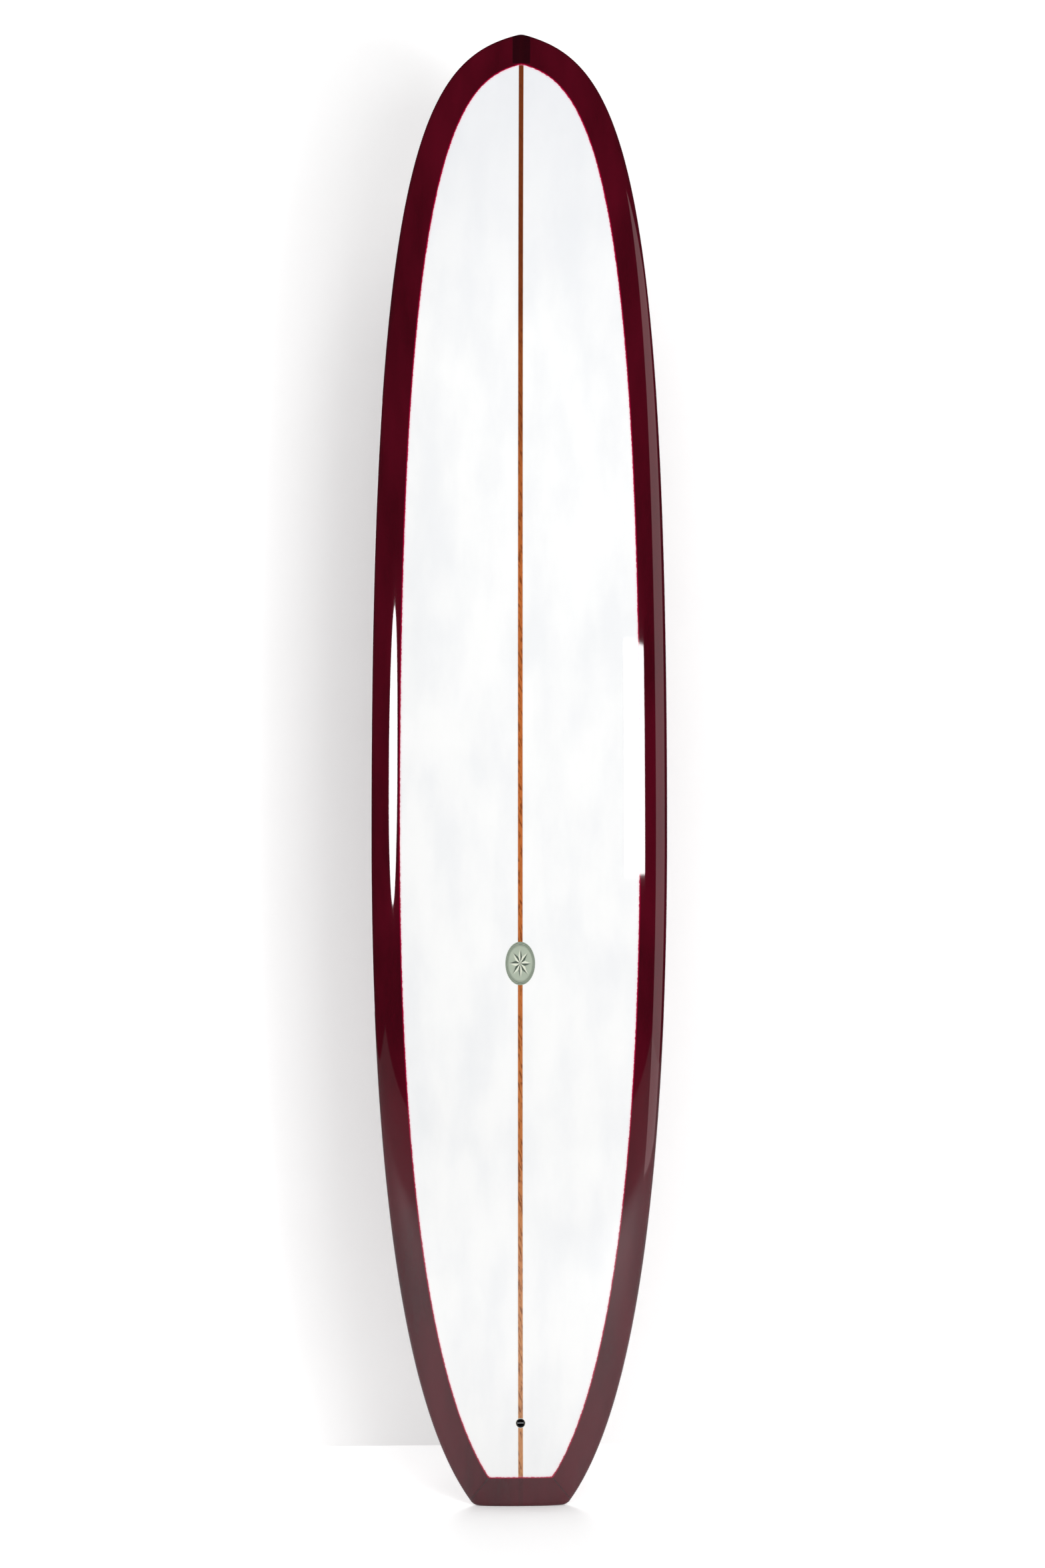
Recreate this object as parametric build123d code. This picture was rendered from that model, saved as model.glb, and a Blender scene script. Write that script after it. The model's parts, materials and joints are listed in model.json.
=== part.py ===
from build123d import *

# Longboard surfboard, 9 ft 6 in, standing on its square tail.
#
# Frame: +Z runs from the tail to the nose, the deck faces -Y, the bottom and its fin face +Y.
# The origin is the middle of the flat tail end. Units are millimetres.
#
# The board is a foam blank in two halves, glued to a wooden stringer, which is in two lengths that
# meet ahead of the fin box. A tinted laminate covers the bottom, wraps the rails and laps onto the
# deck, and a clear laminate fills the deck inside that lap.
# A leash plug sits in the deck, and a long fin box in the bottom. The fin slides in the box on a
# cross pin, and a screw through its front tongue pulls a nut plate against the lips of the box.

import os
from math import cos, hypot, radians, sin, sqrt, tan

# ---- plan outline ----
board_length = 2896.0
board_width = 591.0
wide_point_aft = 121.0  # how far the widest point lies behind the middle of the board
nose_fullness = 0.855  # share of the nose's length that its outline runs nearly straight ahead
tail_fullness = 0.438  # the same for the tail
tip_handle = 196.0  # how long the outline holds its direction at the tip
tip_angle = 13.0  # degrees between the outline and square across, at the tip
tip_half_width = 5.0  # half the small blunt end of the nose
tail_width = 183.0
tail_handle = 249.0  # how long the outline holds its direction at the tail corner
tail_angle = 39.0  # degrees between the outline and the stringer, at the tail corner
tail_corner_radius = 22.0

# ---- side profile ----
nose_rocker = 120.0
tail_rocker = 75.0
nose_rocker_power = 3.2
tail_rocker_power = 2.8
flat_point_aft = 145.0  # how far the lowest point of the bottom lies behind the middle
thickness = 76.0
nose_thickness = 16.0
tail_thickness = 26.0
foil_power = 3.0
thick_point_ahead = 58.0  # how far the thickest point lies ahead of the middle
nose_edge_radius = 6.0
tail_edge_radius = 6.0

# ---- cross-section ----
apex_share = 0.42  # height of the rail's widest line above the bottom, as a share of thickness
crown_share = 0.60  # share of the half width over which the deck stays nearly level
rail_share = 0.62  # share of the rail's height over which its upper side stays nearly upright
roll_share = 0.30  # share of the half width that the bottom takes to roll up to the rail
round_share = 0.55  # handle length that makes a quarter turn round

# ---- layers ----
laminate = 1.5
lap_width = 57.0
stringer_width = 9.5
stringer_joint = 470.0  # how far from the tail the stringer's two lengths meet, clear of the fin box

# ---- emblem under the deck's clear coat ----
emblem_station = 1070.0
emblem_width = 59.0
emblem_height = 86.0
emblem_paper = 0.3

# ---- leash plug ----
plug_station = 163.0
plug_radius = 9.0
plug_depth = 15.0
plug_bore_radius = 6.5
plug_bore_depth = 12.5
plug_edge = 0.8
plug_pin_radius = 1.5
plug_pin_depth = 4.2
plug_pin_grip = 1.6  # how far each end of the pin is held in the cup's wall
plug_bed = 0.8  # resin around the cup

# ---- fin box ----
box_station = 315.0  # middle of the box from the tail
box_length = 273.0
box_width = 25.4
box_depth = 22.0
box_corner_radius = 6.0
box_bed = 1.2  # resin around the box
slot_length = 260.0
slot_width = 9.9
slot_depth = 20.0
slot_corner_radius = 1.5
groove_width = 15.8
groove_top = 10.0
groove_height = 5.2
entry_length = 17.5  # where the lips are cut away to let the pin and the nut plate in

# ---- fin ----
fin_depth = 241.0
fin_base = 168.0
fin_thickness = 9.3
fin_tip_thickness = 2.6
fin_trailing_edge = 0.8
fin_gap = 0.4  # between the blade and the bottom
fin_rake = 64.0  # how far the tip stands behind the back of the base
fin_tip_chord = 8.0
fin_shoulder = 108.0  # height of the blade's first, straighter stretch
fin_lean = 44.0  # how far the leading edge leans back over that stretch
fin_bow = 80.0  # how far ahead of the tip the leading edge bows out
fin_hollow = 24.0  # how far the trailing edge is hollowed forwards
fin_tip_round = 12.0  # how far the trailing edge swings back below the tip
foil_middle = 0.55  # share of the chord over which the blade's sides stay full
fin_stations = 10
tab_length = 160.0
tab_depth = 19.0
tab_end_radius = 4.0
tongue_length = 24.0
tongue_top = 2.6
tongue_height = 4.0
fin_pin_radius = 2.35
fin_pin_length = 15.2
fin_pin_setback = 7.0  # from the back of the tab to the pin

# ---- fin screw and nut plate ----
screw_radius = 2.0
screw_length = 15.5
screw_clearance = 0.3
screw_head_radius = 4.0
screw_head_height = 2.3
screw_setback = 10.0  # from the front of the tongue to the screw
recess_length = 4.6
recess_width = 1.1
recess_depth = 1.3
nut_length = 13.0
nut_width = 15.2
nut_height = 2.5
nut_clearance = 0.1  # below the lips
nut_bore_clearance = 0.05

half_width = board_width / 2
tail_half_width = tail_width / 2
wide_station = board_length / 2 - wide_point_aft
flat_station = board_length / 2 - flat_point_aft
thick_station = board_length / 2 + thick_point_ahead
stringer_half = stringer_width / 2
reach = board_width  # long enough to cut right through the board
STAND = (Align.CENTER, Align.CENTER, Align.MIN)  # a block or cylinder that stands on its place
HANG = (Align.CENTER, Align.CENTER, Align.MAX)  # one that hangs below it

tip_slope = radians(tip_angle)
tail_slope = radians(tail_angle)
nose_curve = [
    (tip_half_width, board_length),
    (tip_half_width + tip_handle * cos(tip_slope), board_length - tip_handle * sin(tip_slope)),
    (half_width, wide_station + nose_fullness * (board_length - wide_station)),
    (half_width, wide_station),
]
tail_curve = [
    (half_width, wide_station),
    (half_width, wide_station * (1 - tail_fullness)),
    (tail_half_width + tail_handle * sin(tail_slope), tail_handle * cos(tail_slope)),
    (tail_half_width, 0),
]
fin_tip = -fin_base / 2 - fin_rake
fin_front_curve = [
    (fin_base / 2, fin_gap),
    (fin_base / 2 - fin_lean, fin_shoulder),
    (fin_tip + fin_tip_chord + fin_bow, fin_depth),
    (fin_tip + fin_tip_chord, fin_depth),
]
fin_back_curve = [
    (-fin_base / 2, fin_gap),
    (fin_hollow - fin_base / 2, fin_shoulder),
    (fin_tip - fin_tip_round, fin_depth),
    (fin_tip, fin_depth),
]
tongue_front = tab_length / 2 + tongue_length
screw_place = tongue_front - screw_setback  # along the box, from its middle
corner_turn = radians(90) - tail_slope
corner_tangent = tail_corner_radius * tan(corner_turn / 2)


def outline_point(curve, u, inset=0):
    """A point of a cubic Bezier curve, moved inwards, square to the curve."""
    weights = ((1 - u) ** 3, 3 * (1 - u) ** 2 * u, 3 * (1 - u) * u**2, u**3)
    slopes = ((1 - u) ** 2, 2 * (1 - u) * u, u**2)
    x, z = [sum(w * p[i] for w, p in zip(weights, curve)) for i in (0, 1)]
    dx, dz = [sum(w * (q[i] - p[i]) for w, p, q in zip(slopes, curve, curve[1:])) for i in (0, 1)]
    return x + inset * dz / hypot(dx, dz), z - inset * dx / hypot(dx, dz)


def crossing(value):
    """Where between 0 and 1 a steadily changing value passes through zero, by halving."""
    low, high = 0.0, 1.0
    rising = value(high) > value(low)
    for _ in range(40):
        middle = (low + high) / 2
        if (value(middle) < 0) == rising:
            low = middle
        else:
            high = middle
    return low


def rocker(z):
    """How far the bottom has risen towards the deck's side at a station."""
    if z > flat_station:
        return nose_rocker * ((z - flat_station) / (board_length - flat_station)) ** nose_rocker_power
    return tail_rocker * ((flat_station - z) / flat_station) ** tail_rocker_power


def thickness_at(z):
    """Thickness on the stringer, before the ends are rounded."""
    if z > thick_station:
        end, share = nose_thickness, (z - thick_station) / (board_length - thick_station)
    else:
        end, share = tail_thickness, (thick_station - z) / thick_station
    return end + (thickness - end) * (1 - share**foil_power)


def bottom_at(z):
    """Y of the bottom on the stringer."""
    return tail_thickness / 2 + tail_rocker - rocker(z)


def deck_at(z):
    """Y of the deck on the stringer."""
    return bottom_at(z) - thickness_at(z)


def slope_at(height, z):
    """Slope of a height along the board, from two stations a millimetre apart."""
    return height(z + 0.5) - height(z - 0.5)


def skin_inset(z, inset):
    """How far the deck and the bottom move in at a station, with both ends rounded over."""
    for from_end, radius in ((z, tail_edge_radius), (board_length - z, nose_edge_radius)):
        if from_end < radius:
            return radius - sqrt(max((radius - inset) ** 2 - (radius - from_end) ** 2, 0))
    return inset


def section(x, z, inset):
    """One closed cross-section: domed deck, round rails and a flat bottom that rolls up at its sides."""
    bottom, apex = bottom_at(z), bottom_at(z) - apex_share * thickness_at(z)
    move = skin_inset(z, inset)
    deck, bottom = deck_at(z) + move, bottom - move
    flat = x * (1 - roll_share)
    crown = [(0, deck), (x * crown_share, deck), (x, apex - rail_share * (apex - deck)), (x, apex)]
    turn = [(x, apex + round_share * (bottom - apex)), (x - round_share * (x - flat), bottom)]
    tuck = [(x, apex), *turn, (flat, bottom)]
    out = [Bezier(*[(px, py, z) for px, py in points]) for points in (crown, tuck)]
    home = [Bezier(*[(-px, py, z) for px, py in reversed(points)]) for points in (tuck, crown)]
    return Wire([*out, Line(out[1] @ 1, home[0] @ 0), *home])


def slab(low, high):
    """Everything between two distances from the middle of the board, across its width."""
    return Pos((low + high) / 2, 0, board_length / 2) * Box(high - low, reach, board_length * 1.1)


def stretch(low, high):
    """Everything between two stations of the board."""
    return Pos(0, 0, low) * Box(reach, reach, high - low, align=STAND)


def board_shape(inset):
    """The board with its skin moved in: a loft up to the tail's corners, one round them, and a mirror."""
    corner = crossing(lambda u: outline_point(tail_curve, u)[1] - corner_tangent * cos(tail_slope))
    nose_steps = (0, 0.0035, 0.009, 0.018, 0.03, 0.05, 0.09, 0.15, 0.24, 0.35, 0.48, 0.62, 0.75, 0.88)
    tail_steps = (0, 0.14, 0.28, 0.42, 0.56, 0.70, 0.84, corner)
    round_steps = (0, 0.15, 0.30, 0.48, 0.66, 0.83)
    places = [outline_point(nose_curve, u, inset) for u in nose_steps]
    places += [outline_point(tail_curve, u, inset) for u in tail_steps]
    centre, radius = tail_half_width - corner_tangent, tail_corner_radius - inset
    turns = [corner_turn * share for share in round_steps]
    rounds = [(centre + radius * sin(a), tail_corner_radius - radius * cos(a)) for a in turns]
    body = Solid.make_loft([section(x, z, inset) for x, z in places])
    end = Solid.make_loft([section(x, z, inset) for x, z in rounds + [places[-1]]])
    half = (body + end) & slab(0, board_width)
    return half + mirror(half, about=Plane.YZ)


def lap_window():
    """The deck inside the tinted lap: the outline moved in by the lap's width, with mitred corners."""
    tip = crossing(lambda u: outline_point(nose_curve, u, lap_width)[0])
    corner = crossing(lambda u: outline_point(tail_curve, u, lap_width)[1] - lap_width)
    shares = (0, 0.04, 0.1, 0.2, 0.35, 0.5, 0.7, 1)
    points = [outline_point(nose_curve, tip + (1 - tip) * share, lap_width) for share in shares]
    points += [outline_point(tail_curve, corner * (1 - share), lap_width) for share in shares[-2::-1]]
    sides = [Spline(*[(side * x, 0, z) for x, z in points]) for side in (1, -1)]
    across = Line(sides[0] @ 1, sides[1] @ 1)
    window = Face(Wire([sides[0], across, sides[1]]))
    return extrude(window, amount=reach, both=True)


def deck_side():
    """Everything on the deck's side of the middle of the blank, all along its rocker."""
    steps = 12
    stations = [board_length * i / steps for i in range(steps + 1)]
    middle = Spline(*[(-reach / 2, (deck_at(z) + bottom_at(z)) / 2, z) for z in stations])
    start, end = middle @ 0, middle @ 1
    across = Vector(0, -reach, 0)
    around = Polyline(end, end + across, start + across, start)
    return extrude(Face(Wire([middle, *around.edges()])), amount=reach, dir=(1, 0, 0))


def plug_place():
    """Where the leash plug sits: Z points out of the deck and X across the board."""
    slope = slope_at(deck_at, plug_station)
    return Plane((0, deck_at(plug_station), plug_station), x_dir=(1, 0, 0), z_dir=(0, -1, slope))


def box_place():
    """Where the fin box sits: Z points out of the bottom and X along the board to the nose."""
    slope = slope_at(bottom_at, box_station)
    return Plane((0, bottom_at(box_station), box_station), x_dir=(0, slope, 1), z_dir=(0, 1, -slope))


def plug_pocket():
    """The hole for the leash plug and its resin."""
    depth = plug_depth + plug_bed
    hole = Cylinder(plug_radius + plug_bed, depth * 2, align=STAND)
    return plug_place().location * Pos(0, 0, -depth) * hole


def plug_pin():
    """The steel bar across the plug's cup, which the leash is tied to."""
    bar = Cylinder(plug_pin_radius, 2 * (plug_bore_radius + plug_pin_grip), rotation=(0, 90, 0))
    return plug_place().location * Pos(0, 0, -plug_pin_depth) * bar


def plug_cup():
    """A round cup, open to the deck, with a rounded floor and a softened mouth."""
    floor = plug_bore_radius - plug_bore_depth
    body = Pos(0, 0, -plug_depth) * Cylinder(plug_radius, plug_depth, align=STAND)
    bore = Pos(0, 0, floor) * Cylinder(plug_bore_radius, plug_bore_depth, align=STAND)
    flare = plug_edge * 2
    mouth = Cone(plug_bore_radius, plug_bore_radius + flare, flare, align=STAND)
    cup = body - bore - Pos(0, 0, floor) * Sphere(plug_bore_radius) - Pos(0, 0, -plug_edge) * mouth
    return plug_place().location * cup - plug_pin()


def plug_resin():
    """The resin that holds the cup, level with the deck."""
    depth = plug_depth + plug_bed
    bed = Cylinder(plug_radius + plug_bed, depth, align=HANG)
    cup = Cylinder(plug_radius, plug_depth, align=HANG)
    return plug_place().location * (bed - cup)


def box_prism(length, width, radius, depth, height):
    """An upright block with rounded corners, on the fin box's middle, with its floor at a depth."""
    outline = Plane((0, 0, -depth)) * RectangleRounded(length, width, radius)
    return box_place().location * extrude(outline, amount=height)


def box_pocket():
    """The hole for the fin box and its resin."""
    length, width, radius = (size + 2 * box_bed for size in (box_length, box_width, box_corner_radius))
    depth = box_depth + box_bed
    return box_prism(length, width, radius, depth, depth * 2)


def fin_box(outer):
    """A long box, level with the bottom, with an undercut slot and an entry in the middle of its lips."""
    body = box_prism(box_length, box_width, box_corner_radius, box_depth, box_depth * 2)
    slot = box_prism(slot_length, slot_width, slot_corner_radius, slot_depth, slot_depth * 2)
    floor = groove_top + groove_height
    groove = box_prism(slot_length, groove_width, slot_corner_radius, floor, groove_height)
    entry = box_prism(entry_length, groove_width, slot_corner_radius, floor, slot_depth * 2)
    return (body & outer) - slot - groove - entry


def fin_box_resin(outer):
    """The resin bed round the fin box."""
    box = box_prism(box_length, box_width, box_corner_radius, box_depth, box_depth * 2)
    return (box_pocket() & outer) - box


def foil(u):
    """One cross-section of the fin: a round leading edge, thickest a third of the way back, thin behind."""
    (front, height), (back, _) = outline_point(fin_front_curve, u), outline_point(fin_back_curve, u)
    thick = fin_thickness + (fin_tip_thickness - fin_thickness) * height / fin_depth
    middle = front - (front - back) * foil_middle
    points = [(front, 0), (front, thick * 2 / 3), (middle, thick * 2 / 3), (back, fin_trailing_edge / 2)]
    out = Bezier(*[(x, y, height) for x, y in points])
    home = Bezier(*[(x, -y, height) for x, y in reversed(points)])
    return Wire([out, Line(out @ 1, home @ 0), home])


def fin_blade():
    """The raked blade, with the tab that fills the slot and the tongue that the screw holds."""
    blade = Solid.make_loft([foil(step / fin_stations) for step in range(fin_stations + 1)])
    tab = Pos(0, 0, -tab_depth) * Box(tab_length, fin_thickness, tab_depth + fin_gap, align=STAND)
    tab = fillet(tab.edges().filter_by(Axis.Y).sort_by(Axis.Z)[:2], tab_end_radius)
    length = tongue_length + tab_end_radius  # far enough back to join the tab behind its round end
    tongue = Box(length, fin_thickness, tongue_height, align=(Align.MAX, Align.CENTER, Align.MAX))
    tongue = fillet(tongue.edges().filter_by(Axis.Z).sort_by(Axis.X)[-2:], slot_corner_radius)
    body = blade + tab + Pos(tongue_front, 0, -tongue_top) * tongue
    hole = Cylinder(screw_radius + screw_clearance, tab_depth, align=HANG)
    return box_place().location * (body - Pos(screw_place, 0, 0) * hole) - fin_pin()


def fin_pin():
    """The brass pin through the back of the tab, whose ends run in the slot's undercut."""
    place = Pos(fin_pin_setback - tab_length / 2, 0, -groove_top - groove_height / 2)
    return box_place().location * place * Cylinder(fin_pin_radius, fin_pin_length, rotation=(90, 0, 0))


def fin_screw():
    """A cross-head screw that bears on the tongue and reaches down through the nut plate."""
    head = Cylinder(screw_head_radius, screw_head_height, align=STAND)
    head = fillet(head.edges().sort_by(Axis.Z)[-1], screw_head_height / 4)
    shank = Cylinder(screw_radius, screw_length, align=HANG)
    screw = head + shank
    for angle in (0, 90):
        groove = Box(recess_length, recess_width, recess_depth * 2)
        screw -= Pos(0, 0, screw_head_height) * Rot(0, 0, angle) * groove
    return box_place().location * Pos(screw_place, 0, -tongue_top) * screw


def fin_nut_plate():
    """The plate in the slot's undercut, drawn up against the lips."""
    plate = Box(nut_length, nut_width, nut_height, align=HANG)
    plate -= Cylinder(screw_radius + nut_bore_clearance, nut_height * 3)
    return box_place().location * Pos(screw_place, 0, -groove_top - nut_clearance) * plate


def emblem(outer):
    """An oval of printed paper, level with the deck, over the stringer."""
    oval = Plane.XZ.offset(reach) * Pos(0, emblem_station) * Ellipse(emblem_width / 2, emblem_height / 2)
    column = extrude(oval, amount=-2 * reach) & deck_side()
    return (outer & column) - Pos(0, emblem_paper, 0) * outer


def main():
    os.makedirs("parts", exist_ok=True)
    outer, blank = board_shape(0), board_shape(laminate)
    shell = outer - blank
    window = lap_window() & deck_side()
    paper = emblem(outer)
    pocket, hole = box_pocket(), plug_pocket()
    core = blank - pocket - hole
    strip = core & slab(-stringer_half, stringer_half)
    parts = {
        "foam_left": core & slab(-board_width, -stringer_half),
        "foam_right": core & slab(stringer_half, board_width),
        "stringer": strip & stretch(stringer_joint, board_length),
        "stringer_tail": strip & stretch(0, stringer_joint),
        "bottom_laminate": shell - window - pocket,
        "deck_laminate": (shell & window) - paper - hole,
        "emblem": paper,
        "leash_plug_cup": plug_cup(),
        "leash_plug_pin": plug_pin(),
        "leash_plug_resin": plug_resin(),
        "fin_box": fin_box(outer),
        "fin_box_resin": fin_box_resin(outer),
        "fin": fin_blade(),
        "fin_cross_pin": fin_pin(),
        "fin_screw": fin_screw(),
        "fin_nut_plate": fin_nut_plate(),
    }
    for name, shape in parts.items():
        export_step(shape, f"parts/{name}.step")


main()
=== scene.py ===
# %% [markdown]
# # A longboard surfboard
#
# This lesson dresses a finished CAD model of a longboard. The CAD model already holds every piece
# at its real size and place. What it lacks is a surface worth looking at: the deep tinted gloss of
# the rails, the razor-cut edge of the lap, the wood that shows through clear resin.
#
# The board stands on its square tail. Z runs up to the nose, the deck faces -Y, and everything is
# in metres. A piece is added by working out its points with numpy, and it then rides on a body of
# the CAD model, so it moves as the model moves.

import json
import math

import bpy
import numpy as np
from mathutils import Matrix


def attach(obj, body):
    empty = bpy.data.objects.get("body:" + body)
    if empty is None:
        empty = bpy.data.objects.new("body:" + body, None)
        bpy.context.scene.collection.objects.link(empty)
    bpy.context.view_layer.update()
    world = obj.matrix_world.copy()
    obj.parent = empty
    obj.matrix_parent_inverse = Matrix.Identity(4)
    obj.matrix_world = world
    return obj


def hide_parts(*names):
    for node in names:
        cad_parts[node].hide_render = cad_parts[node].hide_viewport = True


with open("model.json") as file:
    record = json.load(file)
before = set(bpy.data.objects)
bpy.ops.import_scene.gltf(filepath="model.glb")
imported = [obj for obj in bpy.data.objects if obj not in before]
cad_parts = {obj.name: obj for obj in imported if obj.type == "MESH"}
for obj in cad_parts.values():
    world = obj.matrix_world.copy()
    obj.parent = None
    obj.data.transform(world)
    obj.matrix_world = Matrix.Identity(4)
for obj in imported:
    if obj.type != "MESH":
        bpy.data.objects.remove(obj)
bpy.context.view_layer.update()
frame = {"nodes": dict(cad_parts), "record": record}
record = frame["record"]
mounts = {mount["name"]: mount for mount in record["mounts"]}
joints = {joint["name"]: joint for joint in record["behaviour"]["joints"]}
print("nodes", sorted(frame["nodes"]))

# %% [markdown]
# ## The camera
#
# A board is far taller than it is wide, and a wide lens close to it would stretch the nose and
# shrink the tail. A longer lens from six metres away keeps the outline true. The camera is level,
# at about half the board's height, and stands 21 cm to the left of the centre line.

# %% Place the camera
CAMERA_DISTANCE = 6.0
CAMERA_HEIGHT = 1.4254
CAMERA_AZIMUTH = math.radians(-2.0)
FRAME_LONG_SIDE = 36.0  # millimetres of sensor along the frame's long side
FOCAL_LENGTH = 69.7
SIDE_SHIFT = 0.0013  # share of the frame by which the view is moved sideways

camera_data = bpy.data.cameras.new("camera")
camera_data.sensor_fit = "VERTICAL"
camera_data.sensor_height = FRAME_LONG_SIDE
camera_data.lens = FOCAL_LENGTH
camera_data.shift_x = SIDE_SHIFT
camera = bpy.data.objects.new("camera", camera_data)
bpy.context.scene.collection.objects.link(camera)
camera.location = (
    CAMERA_DISTANCE * math.sin(CAMERA_AZIMUTH),
    -CAMERA_DISTANCE * math.cos(CAMERA_AZIMUTH),
    CAMERA_HEIGHT,
)
camera.rotation_euler = (math.radians(90), 0, CAMERA_AZIMUTH)
bpy.context.scene.camera = camera
print("camera at", [round(value, 3) for value in camera.location])

# %% [markdown]
# ## The board's outline and profile
#
# A shaper draws a board as three things: its outline seen from above, its rocker seen from the
# side, and its cross-section. Each is a short formula here. The outline is two Bezier curves, from
# the blunt tip to the widest point and on to the tail's corner, with an arc round that corner.

# %% Sizes of the board
LENGTH, WIDTH = 2.896, 0.591
# Stations are heights above the tail: the widest, the lowest and the thickest point.
WIDE_STATION = LENGTH / 2 - 0.121
FLAT_STATION = LENGTH / 2 - 0.145
THICK_STATION = LENGTH / 2 + 0.058
TAIL_HALF, TAIL_CORNER = 0.0915, 0.022
TIP_HALF = 0.005
TIP_SLOPE, TAIL_SLOPE = math.radians(13), math.radians(39)
# Handles of the two curves: at the tip and the tail's corner in metres, at the widest point as shares.
TIP_HANDLE, CORNER_HANDLE = 0.196, 0.249
NOSE_FULLNESS, TAIL_FULLNESS = 0.855, 0.438
NOSE_CURVE = [
    (TIP_HALF, LENGTH),
    (TIP_HALF + TIP_HANDLE * math.cos(TIP_SLOPE), LENGTH - TIP_HANDLE * math.sin(TIP_SLOPE)),
    (WIDTH / 2, WIDE_STATION + NOSE_FULLNESS * (LENGTH - WIDE_STATION)),
    (WIDTH / 2, WIDE_STATION),
]
TAIL_CURVE = [
    (WIDTH / 2, WIDE_STATION),
    (WIDTH / 2, WIDE_STATION * (1 - TAIL_FULLNESS)),
    (TAIL_HALF + CORNER_HANDLE * math.sin(TAIL_SLOPE), CORNER_HANDLE * math.cos(TAIL_SLOPE)),
    (TAIL_HALF, 0),
]
LAP_WIDTH = 0.057
STRINGER_HALF = 0.00475


def bezier_weights(u):
    """How much each of a cubic curve's four points counts: (1-u)^3, 3(1-u)^2 u, 3(1-u) u^2, u^3."""
    return (1 - u) ** 3, 3 * (1 - u) ** 2 * u, 3 * (1 - u) * u**2, u**3


def bezier(points, u):
    """Cubic Bezier curve: the sum of its points, each times its weight."""
    first, second, third, fourth = bezier_weights(np.asarray(u, float)[..., None])
    a, b, c, d = np.asarray(points, float)
    return first * a + second * b + third * c + fourth * d


# %% The outline, from the middle of the tail to the tip
def outline(samples=1500):
    """Half the outline as points (x, z): an arc round the tail's corner, then the two curves."""
    turn = math.pi / 2 - TAIL_SLOPE
    tangent = TAIL_CORNER * math.tan(turn / 2)
    angle = np.linspace(0, turn, 60, endpoint=False)
    arc_x = TAIL_HALF - tangent + TAIL_CORNER * np.sin(angle)
    arc_z = TAIL_CORNER * (1 - np.cos(angle))
    tail = bezier(TAIL_CURVE, np.linspace(1, 0, samples, endpoint=False))
    tail = tail[tail[:, 1] > TAIL_CORNER * (1 - math.cos(turn))]
    nose = bezier(NOSE_CURVE, np.linspace(1, 0, samples))
    return np.concatenate([np.stack([arc_x, arc_z], axis=1), tail, nose])


edge_line = outline()
print("outline: widest", round(2 * edge_line[:, 0].max(), 4), "long", round(edge_line[-1, 1], 4))


# %% [markdown]
# ## The cut lap
#
# The tinted cloth of the bottom is wrapped round the rails and glued to the deck. Its edge is then
# cut with a razor at a constant distance from the rail. So the edge is the outline moved inwards,
# square to itself, and it meets itself in sharp mitres at the nose and at both tail corners.

# %% The lap's edge
def moved_inwards(curve, u, distance):
    """Points of a Bezier curve, moved along its normal: the slope turned by a right angle."""
    step = 1e-4
    along = bezier(curve, np.clip(u + step, 0, 1)) - bezier(curve, np.clip(u - step, 0, 1))
    along /= np.linalg.norm(along, axis=1)[:, None]
    return bezier(curve, u) + distance * np.stack([along[:, 1], -along[:, 0]], axis=1)


lap_tail = moved_inwards(TAIL_CURVE, np.linspace(1, 0, 1500, endpoint=False), LAP_WIDTH)
lap_nose = moved_inwards(NOSE_CURVE, np.linspace(1, 0, 1500), LAP_WIDTH)
lap_line = np.concatenate([lap_tail[lap_tail[:, 1] > LAP_WIDTH], lap_nose[lap_nose[:, 0] > 0]])
lap_corner = np.array([np.interp(LAP_WIDTH, lap_line[:2, 1], lap_line[:2, 0]), LAP_WIDTH])
LAP_TIP = float(np.interp(0, lap_line[[-1, -2], 0], lap_line[[-1, -2], 1]))
lap_line = np.concatenate([[lap_corner], lap_line, [[0, LAP_TIP]]])
MITRE_SPREAD = 0.25
print("lap: tail half width", round(lap_corner[0], 4), "tip at", round(LAP_TIP, 4))


def lap_half_width(z):
    """Half the clear deck's width: the lap's edge, and below it a mitre that spreads 1 in 4."""
    inside = np.interp(z, lap_line[:, 1], lap_line[:, 0])
    mitre = lap_corner[0] + (LAP_WIDTH - z) * MITRE_SPREAD
    return np.where(z < LAP_WIDTH, mitre, np.where(z > LAP_TIP, 0, inside))


# %% Rocker and thickness
LOWEST_Y, NOSE_LIFT, TAIL_LIFT = 0.088, 0.120, 0.075
THICKNESS, NOSE_THINNING, TAIL_THINNING = 0.076, 0.060, 0.050
END_RADIUS = 0.006


def bottom_height(z):
    """Y of the bottom: level at the flat point, then lifted by a power of the distance from it."""
    ahead = np.clip((z - FLAT_STATION) / (LENGTH - FLAT_STATION), 0, 1)
    behind = np.clip((FLAT_STATION - z) / FLAT_STATION, 0, 1)
    return LOWEST_Y - NOSE_LIFT * ahead**3.2 - TAIL_LIFT * behind**2.8


def board_thickness(z):
    """Thickness on the stringer: greatest at the thickest point, less by the cube of the distance."""
    ahead = np.clip((z - THICK_STATION) / (LENGTH - THICK_STATION), 0, 1)
    behind = np.clip((THICK_STATION - z) / THICK_STATION, 0, 1)
    return THICKNESS - NOSE_THINNING * ahead**3 - TAIL_THINNING * behind**3


def end_rounding(z):
    """How far the skin moves in near each end: radius less root(radius^2 - (radius - distance)^2)."""
    short = np.maximum(END_RADIUS - np.minimum(z, LENGTH - z), 0)
    return END_RADIUS - np.sqrt(np.maximum(END_RADIUS**2 - short**2, 0))


print("bottom at tail, flat point, nose", bottom_height(np.array([0, FLAT_STATION, LENGTH])).round(3))


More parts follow.
